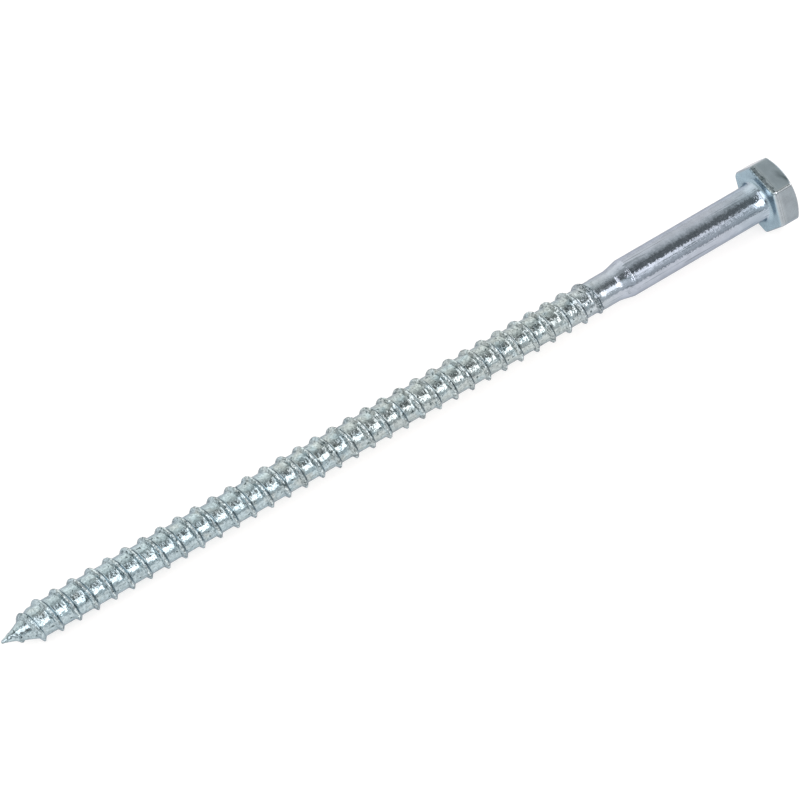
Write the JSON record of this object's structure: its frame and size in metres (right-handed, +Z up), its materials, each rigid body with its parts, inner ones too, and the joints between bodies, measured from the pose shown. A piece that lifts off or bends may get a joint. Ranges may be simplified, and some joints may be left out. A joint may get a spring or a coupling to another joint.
{
  "type": "joist screw",
  "caption": "Long hexagon-head wood screw with a plain shank, a slimmer neck, a coarse right-hand thread and a gimlet point, for fixing joists and other timbers.",
  "frame": {"origin": "on the floor, under the middle of the screw as it lies at rest", "axes": "+X along the screw towards its head, as it lies, with the axis dipping about 1 degree to the point; +Z up"},
  "size_m": [0.2266, 0.019, 0.0171],
  "materials": {
    "zinc_plate": "bright zinc plate over forged and rolled steel"
  },
  "bodies": {
    "root": {"screw": "zinc_plate"}
  },
  "joints": []
}
